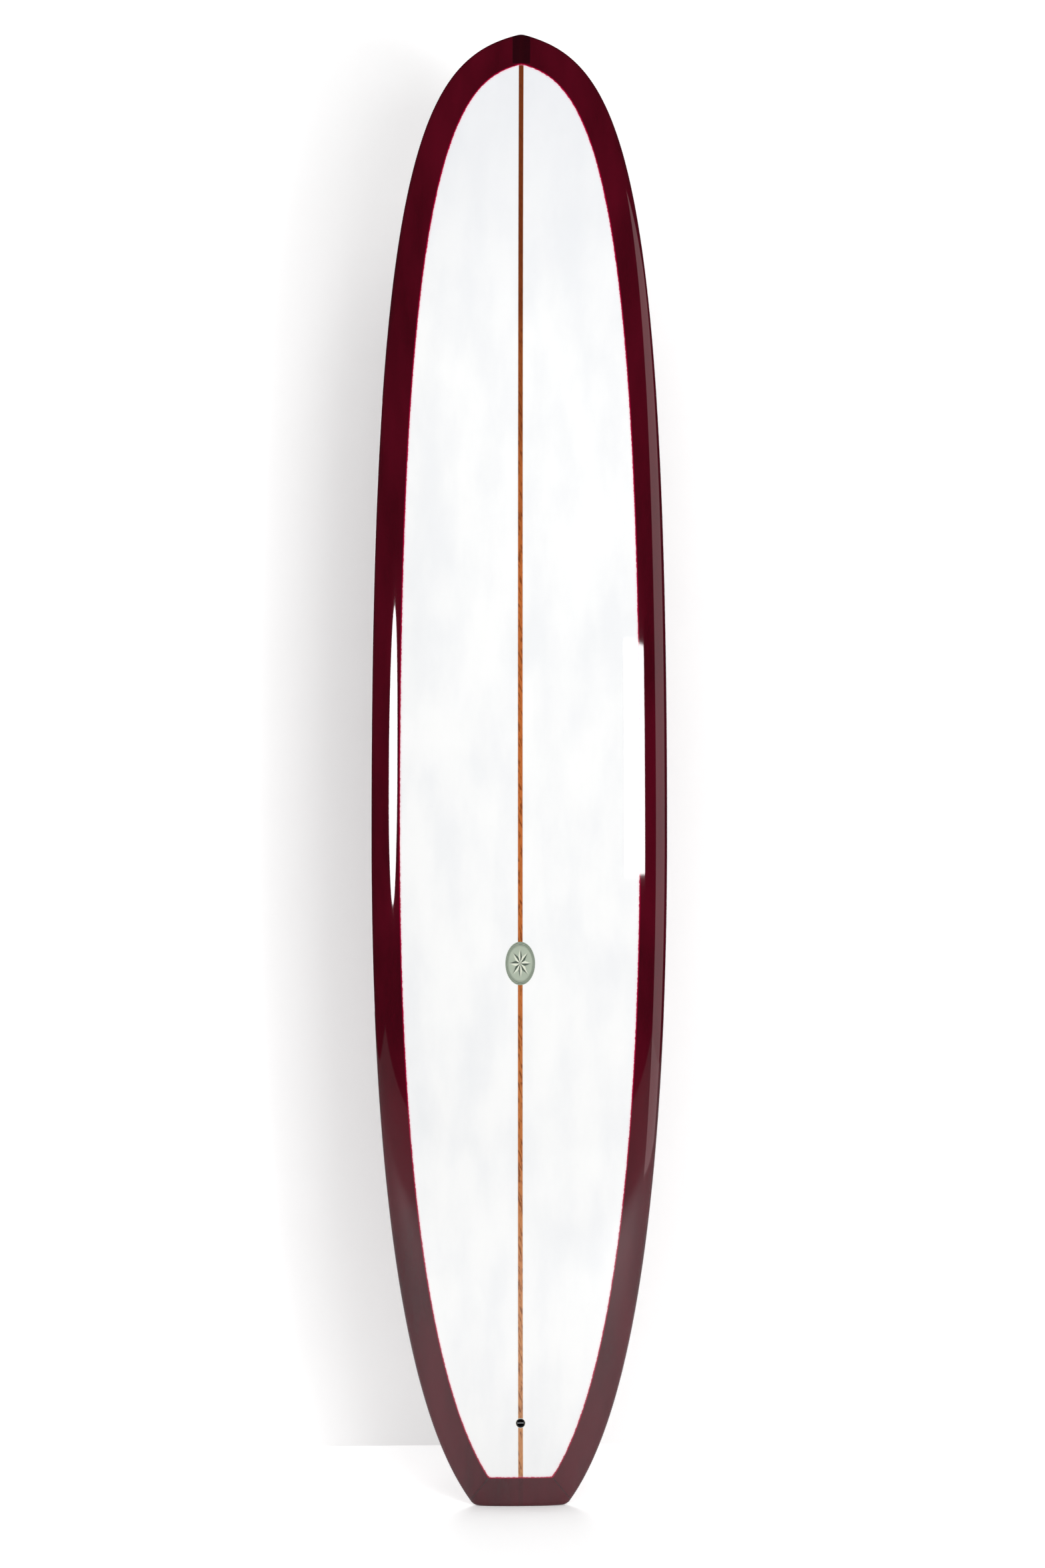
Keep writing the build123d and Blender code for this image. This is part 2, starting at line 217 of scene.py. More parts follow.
# %% [markdown]
# ## The cross-section
#
# Half of a section is two Bezier curves and a straight line. The deck's curve leaves the stringer
# level and comes down onto the rail upright. The second curve tucks the rail under, and the bottom
# is flat. A curve's own parameter doesn't say how far across the board a point is, so the deck's
# curve is also solved the other way round: a fine table gives the parameter for any share of the
# half width, and the same table serves every section, because they differ only in scale.

# %% Sections
APEX_SHARE = 0.42  # height of the rail's widest line, as a share of the thickness
SHOULDER_SHARE = 0.62  # height of the deck curve's third point, from that line to the crown
FLAT_SHARE = 0.70  # share of the half width that is flat underneath
TUCK_HANDLE = 0.55  # close to the 0.552 that makes a quarter turn round
DECK_TABLE = np.linspace(0, 1, 4001)
DECK_ACROSS = bezier([[0], [0.60], [1], [1]], DECK_TABLE)[:, 0]


def section_heights(z):
    """Y of the deck's centre, the rail's widest line and the bottom at each station."""
    low, thick, moved = bottom_height(z), board_thickness(z), end_rounding(z)
    return low - thick + moved, low - APEX_SHARE * thick, low - moved


def deck_point(z, half, share):
    """Points on the deck at a share of the half width: Bezier heights crown, crown, shoulder, apex."""
    crown, apex, _ = section_heights(z)
    u = np.interp(share, DECK_ACROSS, DECK_TABLE)
    first, second, third, fourth = bezier_weights(u)
    shoulder = apex - SHOULDER_SHARE * (apex - crown)
    y = (first + second) * crown + third * shoulder + fourth * apex
    return np.stack([share * half, y, z + 0 * share], axis=-1)


def tuck_point(z, half, u):
    """Points from the rail's widest line to the flat bottom: a Bezier curve of a quarter turn."""
    _, apex, low = section_heights(z)
    flat = half * FLAT_SHARE
    first, second, third, fourth = bezier_weights(u)
    side = first * half + second * half
    side = side + third * (half - TUCK_HANDLE * (half - flat)) + fourth * flat
    y = first * apex + second * (apex + TUCK_HANDLE * (low - apex))
    return np.stack([side, y + (third + fourth) * low, z + 0 * u], axis=-1)


def flat_point(z, half, share):
    """Points on the flat bottom, from its edge to the stringer: a straight line."""
    _, _, low = section_heights(z)
    return np.stack([half * FLAT_SHARE * (1 - share), low + 0 * share, z + 0 * share], axis=-1)


print("crown, apex, bottom at the middle", [round(float(y), 4) for y in section_heights(LENGTH / 2)])


# %% [markdown]
# ## One grid for the whole skin
#
# The clear deck and the tinted wrap must meet without a gap along the lap's edge. So both are cut
# from one grid. Its rows are sections, close together where the outline turns quickly. Its columns
# run from the stringer to the lap's edge, round the rail and back under the bottom. The column on
# the lap's edge is shared, and each piece takes its own faces.

# %% Rows of the grid
TAIL_END, NOSE_END = 0.0085, 0.0065  # stretches at both ends that get closer rows
END_ROWS = 15


def stations(spacing):
    """Stations at even steps along the outline, with steps of 1 - cosine at both rounded ends."""
    steps = np.hypot(*np.diff(edge_line, axis=0).T)
    along = np.concatenate([[0], np.cumsum(steps)])
    even = np.interp(np.arange(0, along[-1], spacing), along, edge_line[:, 1])
    even = even[(even > TAIL_END) & (even < LENGTH - NOSE_END)]
    turn = np.linspace(0, math.pi / 2, END_ROWS)
    tail_end = TAIL_END * (1 - np.cos(turn))
    nose_end = LENGTH - NOSE_END * (1 - np.cos(turn))
    z = np.unique(np.concatenate([tail_end, even, nose_end]))
    for exact in (LAP_WIDTH, LAP_TIP):
        z[np.argmin(abs(z - exact))] = exact
    return np.sort(z)


rows = stations(spacing=0.0085)
half_widths = np.interp(rows, edge_line[:, 1], edge_line[:, 0])
lap_widths = np.minimum(lap_half_width(rows), half_widths)
print(len(rows), "stations")

# %% Columns of the grid
DECK_COLUMNS, LAP_COLUMNS, TUCK_COLUMNS, BOTTOM_COLUMNS = 30, 16, 18, 14


def half_skin():
    """The right half of the skin, stations by columns: deck, then tuck, then flat bottom."""
    z, half = rows[:, None], half_widths[:, None]
    lap_share = (lap_widths / half_widths)[:, None]
    inner = lap_share * np.linspace(0, 1, DECK_COLUMNS + 1)[None, :]
    ease = np.sin(np.linspace(0, math.pi / 2, LAP_COLUMNS + 1))[None, 1:]
    outer = lap_share + (1 - lap_share) * ease
    u = np.linspace(0, 1, TUCK_COLUMNS + 1)[None, 1:]
    share = np.linspace(0, 1, BOTTOM_COLUMNS + 1)[None, 1:]
    deck = deck_point(z, half, np.concatenate([inner, outer], axis=1))
    return np.concatenate([deck, tuck_point(z, half, u), flat_point(z, half, share)], axis=1)


right = half_skin()
left = right[:, -2:0:-1] * [-1, 1, 1]
skin = np.concatenate([right, left], axis=1)
print("skin grid", skin.shape)

# %% [markdown]
# ## Openings for the leash plug and the fin box
#
# The skin must be open where the leash plug sits in the deck and where the fin box sits in the
# bottom. Cutting a mesh leaves slivers that spoil a glossy surface, so nothing is cut. A block of
# cells is left out instead, and a ring of new cells runs from the block's border in to the opening.
# Each border point is joined to the nearest point of the opening.

# %% Sizes of the openings
PLUG_PLACE = np.array([0.0, 0.163])
PLUG_OPENING = (0.0098, 0.0098, 0.0098)
FIN_ORIGIN = np.array(mounts["fin_slot"]["pos_m"])
FIN_FORWARD = np.array(joints["fin_slide"]["axis"])
FIN_OUTWARD = np.array(mounts["fin_slot"]["axis"])
BOX_PLACE = FIN_ORIGIN[[0, 2]]
BOX_OPENING = (0.0139, 0.1377 * FIN_FORWARD[2], 0.0072)
OPENING_MARGIN = 0.010
print("openings at", PLUG_PLACE, "and", BOX_PLACE.round(4), "as half width, half height and radius")


def on_deck(plan):
    """Points of the deck above plan points (x, z)."""
    x, z = plan[..., 0], plan[..., 1]
    half = np.interp(z, edge_line[:, 1], edge_line[:, 0])
    points = deck_point(z, half, np.abs(x) / half)
    points[..., 0] = x
    return points


def on_bottom(plan):
    """Points of the flat bottom under plan points (x, z)."""
    return np.stack([plan[..., 0], section_heights(plan[..., 1])[2], plan[..., 1]], axis=-1)


def nearest_on_opening(plan, centre, half_x, half_z, radius):
    """Nearest point of a round-cornered rectangle: pull into its core, then step out by the radius."""
    offset = plan - centre
    core = np.clip(offset, [radius - half_x, radius - half_z], [half_x - radius, half_z - radius])
    out = offset - core
    return centre + core + radius * out / np.linalg.norm(out, axis=-1, keepdims=True)


# %% Leave out a block of cells and ring the opening
def block_border(first_row, last_row, across):
    """Grid numbers round a block of cells, in the same turning direction as a cell's corners."""
    grid = np.arange(skin.shape[0])[:, None] * skin.shape[1] + np.arange(skin.shape[1])[None, :]
    block = grid[first_row : last_row + 1][:, across]
    return np.concatenate([block[0], block[1:, -1], block[-1, -2::-1], block[-2:0:-1, 0]])


def opening_ring(middle_column, reach, centre, opening, surface, rings=5):
    """Cells to leave out, and a ring of even mixes from their border to the opening's nearest point."""
    first = int(np.searchsorted(rows, centre[1] - opening[1] - OPENING_MARGIN))
    last = int(np.searchsorted(rows, centre[1] + opening[1] + OPENING_MARGIN))
    across = np.arange(middle_column - reach, middle_column + reach + 1) % skin.shape[1]
    border = skin.reshape(-1, 3)[block_border(first, last, across)]
    plan = border[:, [0, 2]]
    share = np.linspace(0, 1, rings + 1)[:, None, None]
    goal = nearest_on_opening(plan, centre, *opening)
    ring = surface(plan + share * (goal - plan))
    ring[0] = border
    cut = np.zeros((skin.shape[0] - 1, skin.shape[1]), bool)
    cut[first:last, across[:-1]] = True
    return cut, ring


BOTTOM_MIDDLE = right.shape[1] - 1
plug_cut, plug_ring = opening_ring(0, 5, PLUG_PLACE, PLUG_OPENING, on_deck)
box_cut, box_ring = opening_ring(BOTTOM_MIDDLE, 3, BOX_PLACE, BOX_OPENING, on_bottom)
print("plug ring", plug_ring.shape, "box ring", box_ring.shape)

# %% [markdown]
# ## From grid to mesh
#
# Four neighbouring grid points make a face. A helper numbers those faces for a whole grid, and
# another joins points that coincide, such as the two sides of a seam.

# %% Number and join cells
def grid_faces(n_rows, n_columns):
    """Corner numbers of each cell of a grid whose last column is joined to its first."""
    row = np.arange(n_rows - 1)[:, None]
    column = np.arange(n_columns)[None, :]
    after = (column + 1) % n_columns
    corners = [row * n_columns + column, row * n_columns + after]
    corners += [(row + 1) * n_columns + after, (row + 1) * n_columns + column]
    return np.stack(np.broadcast_arrays(*corners), axis=-1)


def join_points(points, faces):
    """Points that coincide become one. Returns points, faces, and where each point came from."""
    keys = np.round(points * 1e6).astype(np.int64)
    _, first, number = np.unique(keys, axis=0, return_index=True, return_inverse=True)
    return points[first], number.ravel()[faces], first


def point_normals(points, faces):
    """Each point's normal: the sum of its faces' normals, each as long as twice the face's area."""
    across = points[faces[:, 2]] - points[faces[:, 0]]
    down = points[faces[:, 3]] - points[faces[:, 1]]
    face_normal = np.cross(across, down)
    total = np.zeros_like(points)
    for corner in range(4):
        np.add.at(total, faces[:, corner], face_normal)
    return total / np.maximum(np.linalg.norm(total, axis=1, keepdims=True), 1e-20)


# %% [markdown]
# ## How far each point is from the lap's edge
#
# The colours along the cut change within a couple of millimetres, much less than one face. A point
# can't carry such a fine colour, but it can carry a distance, and a distance stays exact between
# points. So each point of the skin is given its distance to the lap's edge, positive on the clear
# deck, and the materials draw their fine lines from it.

# %% Distance to the lap's edge
LINE_STEP = 8  # every eighth point of the lap's edge is close enough here
UNDERNEATH = -0.1  # stands for a point far from the lap's edge, under the board


def lap_distance(points):
    """Signed distance in plan to the lap's edge: the least distance to its short straight pieces."""
    across = np.abs(points[..., 0]).ravel()
    plan = np.stack([across, points[..., 2].ravel()], axis=1)
    line = np.concatenate([[[0, LAP_WIDTH]], lap_line[::LINE_STEP], [lap_line[-1]]])
    best = np.full(len(plan), np.inf)
    for start, end in zip(line[:-1], line[1:]):
        along = end - start
        share = np.clip(((plan - start) @ along) / max(along @ along, 1e-12), 0, 1)
        best = np.minimum(best, np.linalg.norm(plan - start - share[:, None] * along, axis=1))
    between = (plan[:, 1] > LAP_WIDTH) & (plan[:, 1] < LAP_TIP)
    inside = (across < lap_half_width(plan[:, 1])) & between
    return np.where(inside, best, -best).reshape(points.shape[:-1])


upper_columns = DECK_COLUMNS + LAP_COLUMNS + 1
distance = np.full(skin.shape[:2], UNDERNEATH)
distance[:, :upper_columns] = lap_distance(skin[:, :upper_columns])
distance[:, 1 - upper_columns :] = distance[:, upper_columns - 1 : 0 : -1]
print("lap distance from", distance.min().round(3), "to", distance.max().round(3))

# %% Put the whole skin together
cells = grid_faces(*skin.shape[:2])
in_window = (rows[:-1] > LAP_WIDTH - 1e-6) & (rows[1:] < LAP_TIP + 1e-6)
column = np.arange(skin.shape[1])
in_middle = (column < DECK_COLUMNS) | (column >= skin.shape[1] - DECK_COLUMNS)
is_deck = in_window[:, None] & in_middle[None, :]
whole = ~(plug_cut | box_cut)


def end_cap(row, middle, flip):
    """Cells that close a flat end: each joins a step of the end section to its middle point."""
    ring = row * skin.shape[1] + column
    after = row * skin.shape[1] + (column + 1) % skin.shape[1]
    pair = (ring, after) if flip else (after, ring)
    return np.stack([*pair, np.full_like(ring, middle), np.full_like(ring, middle)], axis=-1)


end_middles = skin[[0, -1]].mean(axis=1) * [0, 1, 1]
point_sets = [skin.reshape(-1, 3), end_middles, plug_ring.reshape(-1, 3), box_ring.reshape(-1, 3)]
starts = np.cumsum([0] + [len(points) for points in point_sets])
plug_cells = grid_faces(*plug_ring.shape[:2]).reshape(-1, 4) + starts[2]
box_cells = grid_faces(*box_ring.shape[:2]).reshape(-1, 4) + starts[3]
caps = np.concatenate([end_cap(0, starts[1], False), end_cap(len(rows) - 1, starts[1] + 1, True)])
deck_cells = np.concatenate([cells[is_deck & whole], plug_cells])
wrap_cells = np.concatenate([cells[~is_deck & whole], box_cells, caps])
lap_sets = [distance.ravel(), np.full(len(end_middles), UNDERNEATH)]
lap_sets += [lap_distance(plug_ring).ravel(), np.full(box_ring[..., 0].size, UNDERNEATH)]
lap_values = np.concatenate(lap_sets)
every_point, every_cell, came_from = join_points(
    np.concatenate(point_sets), np.concatenate([deck_cells, wrap_cells])
)
skin_normals = point_normals(every_point, every_cell)
lap_values = lap_values[came_from]
print("whole skin", len(every_point), "points", len(every_cell), "cells")


# %% [markdown]
# ## Laminates have a thickness
#
# Each laminate is a closed shell: its outer face, an inner face 1.5 mm behind it, and a rim along
# every open edge. Both pieces keep the normals of the whole skin, worked out before it was shared,
# so a reflection runs across the lap's edge without a step.

# %% Make a closed shell
def split_cells(faces):
    """Cells as quads and triangles. Two corners alike make a triangle, and three make nothing."""
    same = faces == np.roll(faces, -1, axis=1)
    thin = same.sum(axis=1) == 1
    return faces[same.sum(axis=1) == 0], faces[thin][~same[thin]].reshape(-1, 3)


def open_edges(*face_sets):
    """Edges that only one face uses, as pairs of point numbers in that face's own direction."""
    pairs = [np.stack([faces, np.roll(faces, -1, axis=1)], axis=-1) for faces in face_sets]
    edges = np.concatenate([pair.reshape(-1, 2) for pair in pairs])
    size = edges.max() + 1
    ahead = edges[:, 0] * size + edges[:, 1]
    back = edges[:, 1] * size + edges[:, 0]
    return edges[~np.isin(ahead, back)]


def add_shell(name, faces, points, normals, thickness, values):
    """A closed shell: outer faces, inner faces turned round and moved in by the normals, and rims."""
    used, numbers = np.unique(faces, return_inverse=True)
    faces, count = numbers.reshape(faces.shape), len(used)
    points, normals = points[used], normals[used]
    quads, triangles = split_cells(faces)
    edges = open_edges(quads, triangles)
    start, end = edges[:, 0], edges[:, 1]
    rims = np.stack([end, start, start + count, end + count], axis=1)
    layers = np.concatenate([points, points - thickness * normals])
    diagonals = layers[rims[:, 2]] - layers[rims[:, 0]], layers[rims[:, 3]] - layers[rims[:, 1]]
    rim_normals = np.cross(*diagonals)
    rim_normals /= np.maximum(np.linalg.norm(rim_normals, axis=1, keepdims=True), 1e-20)
    layer_normals = np.concatenate([normals, -normals])
    groups = [quads, triangles, quads[:, ::-1] + count, triangles[:, ::-1] + count]
    corner_normals = [layer_normals[group.ravel()] for group in groups]
    corner_normals.append(np.repeat(rim_normals, 4, axis=0))
    shell_faces = [face for group in [*groups, rims] for face in group.tolist()]
    mesh = bpy.data.meshes.new(name)
    mesh.from_pydata(layers.tolist(), [], shell_faces)
    for key, number in values.items():
        attribute = mesh.attributes.new(key, "FLOAT", "POINT")
        attribute.data.foreach_set("value", np.tile(number[used], 2).astype(np.float32))
    mesh.shade_smooth()
    mesh.normals_split_custom_set(np.concatenate(corner_normals).tolist())
    piece = bpy.data.objects.new(name, mesh)
    bpy.context.scene.collection.objects.link(piece)
    print(name, len(layers), "points", sum(len(face) - 2 for face in shell_faces), "triangles")
    return piece


# %% The two laminates
LAMINATE_THICKNESS = 0.0015
joined_deck, joined_wrap = every_cell[: len(deck_cells)], every_cell[len(deck_cells) :]
skin_data = (every_point, skin_normals, LAMINATE_THICKNESS, {"lap_in": lap_values})
deck_skin = add_shell("deck_skin", joined_deck, *skin_data)
wrap_skin = add_shell("wrap_skin", joined_wrap, *skin_data)
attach(deck_skin, "board")
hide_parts("deck_laminate")
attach(wrap_skin, "board")
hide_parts("bottom_laminate")

# %% [markdown]
# ## The emblem
#
# A maker lays a small printed paper oval on the stringer before the last coat of resin. It is a
# polar grid: rings from the middle outwards, each an ellipse, set a hair's breadth above the deck.

# %% Paper oval
EMBLEM_PLACE = np.array([0.0, 1.070])
EMBLEM_HALF = np.array([0.0295, 0.043])
PAPER_LIFT, PAPER_THICKNESS = 0.00008, 0.0003


def paper_oval(rings=14, turns=96):
    """Plan points: centre plus ring share times the half sizes times (cosine, sine) of the turn."""
    share = np.linspace(0, 1, rings + 1)[:, None, None]
    turn = np.linspace(0, 2 * math.pi, turns, endpoint=False)
    circle = np.stack([np.cos(turn), np.sin(turn)], axis=-1)
    return EMBLEM_PLACE + share * EMBLEM_HALF * circle


oval = on_deck(paper_oval()) - [0, PAPER_LIFT, 0]
oval_points, oval_cells, _ = join_points(
    oval.reshape(-1, 3), grid_faces(*oval.shape[:2]).reshape(-1, 4)[:, ::-1]
)
oval_normals = point_normals(oval_points, oval_cells)
emblem = add_shell("emblem_print", oval_cells, oval_points, oval_normals, PAPER_THICKNESS, {})
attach(emblem, "board")
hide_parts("emblem")

# %% [markdown]
# ## A first look at material nodes
#
# A material is a small network: some nodes read where a point is, some make noise, some bend
# numbers into colours, and one shader at the end turns it all into light. Writing that network out
# by hand is long-winded, so a few helpers make a node, join it to what it reads, and give back its
# result. Every pattern here reads Object coordinates or a number stored on the piece's points, so
# it stays on the board when the board or the camera moves.


# %% Material helpers
def new_material(name, **settings):
    """A material, its node tree and its shader, with constants put straight on its sockets."""
    material = bpy.data.materials.new(name)
    material.use_nodes = True
    tree = material.node_tree
    shader = tree.nodes["Principled BSDF"]
    for socket, value in settings.items():
        shader.inputs[socket.replace("_", " ")].default_value = value
    return material, tree, shader


def feed(tree, socket, value):
    """Joins a node's result to a socket, or writes a plain number or colour on it."""
    if isinstance(value, bpy.types.NodeSocket):
        tree.links.new(value, socket)
    else:
        socket.default_value = value


def position(tree):
    """Where a point is on the board, in metres."""
    return tree.nodes.new("ShaderNodeTexCoord").outputs["Object"]


def stored(tree, key):
    """A number stored on the piece's points."""
    node = tree.nodes.new("ShaderNodeAttribute")
    node.attribute_name = key
    return node.outputs["Fac"]


def sums(tree, operation, *values, clamp=False):
    """One step of arithmetic on numbers."""
    node = tree.nodes.new("ShaderNodeMath")
    node.operation = operation
    node.use_clamp = clamp
    for socket, value in zip(node.inputs, values):
        feed(tree, socket, value)
    return node.outputs[0]


def axis_values(tree, vector):
    """A vector's X, Y and Z."""
    node = tree.nodes.new("ShaderNodeSeparateXYZ")
    feed(tree, node.inputs[0], vector)
    return node.outputs


def stretched(tree, vector, scale):
    """A vector with each axis scaled by its own amount."""
    node = tree.nodes.new("ShaderNodeMapping")
    feed(tree, node.inputs["Vector"], vector)
    node.inputs["Scale"].default_value = scale
    return node.outputs[0]


def noise(tree, vector, scale, detail=2.0, roughness=0.5):
    """Soft random values about 0.5."""
    node = tree.nodes.new("ShaderNodeTexNoise")
    feed(tree, node.inputs["Vector"], vector)
    node.inputs["Scale"].default_value = scale
    node.inputs["Detail"].default_value = detail
    node.inputs["Roughness"].default_value = roughness
    return node.outputs[0]


def ramp(tree, value, low, high):
    """Goes smoothly from 0 at one value to 1 at another."""
    node = tree.nodes.new("ShaderNodeMapRange")
    node.interpolation_type = "SMOOTHSTEP"
    feed(tree, node.inputs["Value"], value)
    feed(tree, node.inputs["From Min"], low)
    feed(tree, node.inputs["From Max"], high)
    return node.outputs[0]


def blend(tree, share, first, second):
    """Mixes two colours: all the first at 0, and all the second at 1."""
    node = tree.nodes.new("ShaderNodeMix")
    node.data_type = "RGBA"
    feed(tree, node.inputs[0], share)
    feed(tree, node.inputs[6], first)
    feed(tree, node.inputs[7], second)
    return node.outputs[2]


def bump(tree, height, distance, strength=1.0):
    """A normal that makes a height look raised or sunk by up to a distance in metres."""
    node = tree.nodes.new("ShaderNodeBump")
    feed(tree, node.inputs["Height"], height)
    node.inputs["Distance"].default_value = distance
    node.inputs["Strength"].default_value = strength
    return node.outputs[0]


def paint(red, green, blue):
    """A colour from screen values of 0 to 255, made linear: ((c + 0.055) / 1.055) to the power 2.4."""
    screen = np.array([red, green, blue]) / 255
    linear = np.where(screen < 0.04045, screen / 12.92, ((screen + 0.055) / 1.055) ** 2.4)
    return (*[float(value) for value in linear], 1.0)


def centred(tree, vector, place):
    """A vector measured from a place."""
    node = tree.nodes.new("ShaderNodeVectorMath")
    node.operation = "SUBTRACT"
    feed(tree, node.inputs[0], vector)
    node.inputs[1].default_value = [float(value) for value in place]
    return node.outputs[0]


def reach_along(tree, vector, direction):
    """How far a vector reaches in a direction: its dot product with it."""
    node = tree.nodes.new("ShaderNodeVectorMath")
    node.operation = "DOT_PRODUCT"
    feed(tree, node.inputs[0], vector)
    node.inputs[1].default_value = [float(value) for value in direction]
    return node.outputs["Value"]


WHITE = (1.0, 1.0, 1.0, 1.0)
print("a mid grey of 128 is", round(paint(128, 128, 128)[0], 3), "in linear light")

# %% [markdown]
# ## Glass cloth and the gloss coat
#
# Under the resin lies woven glass cloth. Two crossed sine waves give its threads, with a pitch of
# just under a millimetre. A woven mesh would take millions of faces for something so fine, so it is
# a pattern in the material. Over everything goes a sanded and polished gloss coat. It is not quite
# flat: it swims very slightly, which bends long reflections.

# %% Cloth and coat
SWELL_STRETCH = (9.0, 9.0, 3.0)


def cloth(tree, pitch=0.0009):
    """Height of a plain weave: the product of a sine across and a sine along, from 0 to 1."""
    x, y, z = axis_values(tree, position(tree))
    turns = 2 * math.pi / pitch
    across = sums(tree, "SINE", sums(tree, "MULTIPLY", sums(tree, "ADD", x, y), turns))
    upward = sums(tree, "SINE", sums(tree, "MULTIPLY", z, turns))
    return sums(tree, "MULTIPLY_ADD", sums(tree, "MULTIPLY", across, upward), 0.5, 0.5)


def swimming_coat(tree, depth=0.00012):
    """A normal for the polished coat: shallow swells 11 cm wide and 33 cm long, and finer ones."""
    broad = noise(tree, stretched(tree, position(tree), SWELL_STRETCH), 1.0, detail=3.0)
    return bump(tree, broad, depth, 0.55)


def gloss(name, **settings):
    """A material under a clear polished coat. Only the coat mirrors, as resin wets what it covers."""
    coat = {"Coat_Weight": 1.0, "Coat_Roughness": 0.025, "Coat_IOR": 1.52}
    return new_material(name, IOR=1.5, Specular_IOR_Level=0.0, **coat, **settings)


print("swells of the coat, in centimetres:", [round(100 / size) for size in SWELL_STRETCH])


# %% [markdown]
# ## Wood for the stringer
#
# The stringer is one long strip of cedar, seen edge on. Its colour drifts along its length from
# dark brown at the nose to honey at the tail. Fine pores run along it, with short slanting flecks
# where the saw crossed the grain. An image of wood would repeat along so long a strip, so noise
# that is stretched along it makes both.

# %% Cedar
PORE_STRETCH = (1500, 1500, 45)


def cedar_colour(tree):
    """Colour along the strip, darkened by stretched noise for pores and by slanted noise for flecks."""
    place = position(tree)
    x, y, z = axis_values(tree, place)
    drift = sums(tree, "MULTIPLY_ADD", noise(tree, stretched(tree, place, (1, 1, 5)), 1.0), 0.9, z)
    tail_to_middle = ramp(tree, drift, 0.55, 1.75)
    middle_to_nose = ramp(tree, drift, 2.15, 2.95)
    base = blend(tree, tail_to_middle, paint(178, 122, 76), paint(172, 96, 46))
    base = blend(tree, middle_to_nose, base, paint(96, 42, 16))
    slanted = sums(tree, "MULTIPLY_ADD", x, 2.4, z)
    join = tree.nodes.new("ShaderNodeCombineXYZ")
    feed(tree, join.inputs[0], x)
    feed(tree, join.inputs[1], y)
    feed(tree, join.inputs[2], slanted)
    flecks = noise(tree, stretched(tree, join.outputs[0], (200, 90, 85)), 1.0, 3.0)
    flecks = ramp(tree, flecks, 0.47, 0.66)
    pores = noise(tree, stretched(tree, place, PORE_STRETCH), 1.0, 4.0, 0.6)
    pores = ramp(tree, pores, 0.42, 0.72)
    base = blend(tree, sums(tree, "MULTIPLY", flecks, 0.72), base, paint(82, 34, 14))
    return blend(tree, sums(tree, "MULTIPLY", pores, 0.45), base, paint(112, 56, 26))


def stringer_share(tree, soft=0.00035):
    """1 over the stringer and 0 beside it, from how far a point is from the middle plane."""
    x, _, _ = axis_values(tree, position(tree))
    outside = ramp(tree, sums(tree, "ABSOLUTE", x), STRINGER_HALF - soft, STRINGER_HALF)
    return sums(tree, "SUBTRACT", 1.0, outside)


print("pores are", round(1000 / PORE_STRETCH[2]), "mm long")

# %% [markdown]
# ## The clear deck
#
# Through clear resin the white foam shows, and the wood with a faint tan line of glue on each side.
# The cut edge of the tinted lap stains the cloth beside it, so the white has a narrow pink fringe,
# ragged where the razor nicked the cloth. Real see-through resin would be slow and noisy to render,
# so one surface shows the colours that would be seen through it.

# %% Clear deck material
def clear_deck():
    """White by mottle, painted shade at the nose, weave and glue, then wood, then the fringe by distance
    to the cut.
    """
    material, tree, shader = gloss("clear_deck")
    _, _, z = axis_values(tree, position(tree))
    mottle = noise(tree, stretched(tree, position(tree), (14, 14, 5)), 1.0, 4.0)
    white = blend(tree, ramp(tree, mottle, 0.3, 0.75), paint(229, 229, 228), paint(219, 220, 221))
    # Painted shade: the white is mixed towards grey over the nose, from 2.15 m up.
    nose = sums(tree, "MULTIPLY", ramp(tree, z, 2.15, 2.85), 0.55)
    white = blend(tree, nose, white, paint(192, 194, 199))
    weave = cloth(tree)
    white = blend(tree, sums(tree, "MULTIPLY", weave, 0.3), white, paint(204, 206, 209))
    glue = sums(tree, "ABSOLUTE", axis_values(tree, position(tree))[0])
    glue = sums(tree, "MULTIPLY", ramp(tree, glue, STRINGER_HALF + 0.0007, STRINGER_HALF), 0.35)
    white = blend(tree, glue, white, paint(186, 150, 116))
    shown = blend(tree, stringer_share(tree), white, cedar_colour(tree))
    nick = sums(tree, "SUBTRACT", noise(tree, position(tree), 190.0, 5.0, 0.7), 0.5)
    inward = sums(tree, "MULTIPLY_ADD", nick, 0.0042, stored(tree, "lap_in"))
    halo = sums(tree, "MULTIPLY", ramp(tree, inward, 0.0044, 0.0006), 0.26)
    shown = blend(tree, halo, shown, paint(226, 120, 152))
    cut = ramp(tree, inward, 0.0009, 0.0001)
    shown = blend(tree, cut, shown, paint(156, 4, 52))
    feed(tree, shader.inputs["Base Color"], shown)
    feed(tree, shader.inputs["Roughness"], sums(tree, "MULTIPLY_ADD", weave, 0.12, 0.36))
    feed(tree, shader.inputs["Normal"], bump(tree, weave, 0.000012, 0.35))
    feed(tree, shader.inputs["Coat Normal"], swimming_coat(tree))
    return material


deck_skin.data.materials.append(clear_deck())
print("deck uses", deck_skin.data.materials[0].name)
